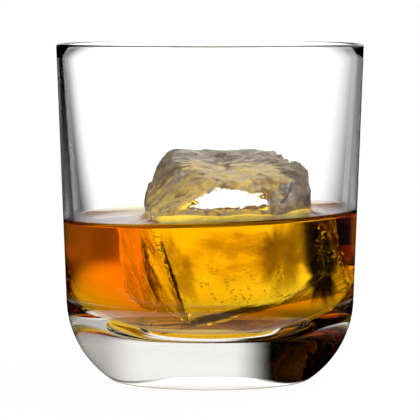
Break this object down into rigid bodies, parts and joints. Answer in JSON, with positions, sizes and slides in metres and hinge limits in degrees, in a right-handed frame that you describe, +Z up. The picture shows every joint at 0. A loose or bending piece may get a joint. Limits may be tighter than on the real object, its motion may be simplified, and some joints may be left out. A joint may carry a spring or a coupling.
{
  "type": "whiskey on the rocks",
  "caption": "Round-based tumbler with a thick base, part filled with amber whiskey and a large melted block of clear ice that stands above the surface.",
  "frame": {"origin": "middle of the foot, on the surface that the glass stands on", "axes": "+Z up along the glass's axis, +X to the right and -Y towards the front"},
  "size_m": [0.086, 0.086, 0.094],
  "materials": {
    "tumbler_glass": "polished clear glass",
    "whiskey_liquid": "clear amber liquid",
    "clear_ice": "wet, melted clear ice"
  },
  "bodies": {
    "root": {"glass": "tumbler_glass", "whiskey": "whiskey_liquid", "ice": "clear_ice"}
  },
  "joints": []
}
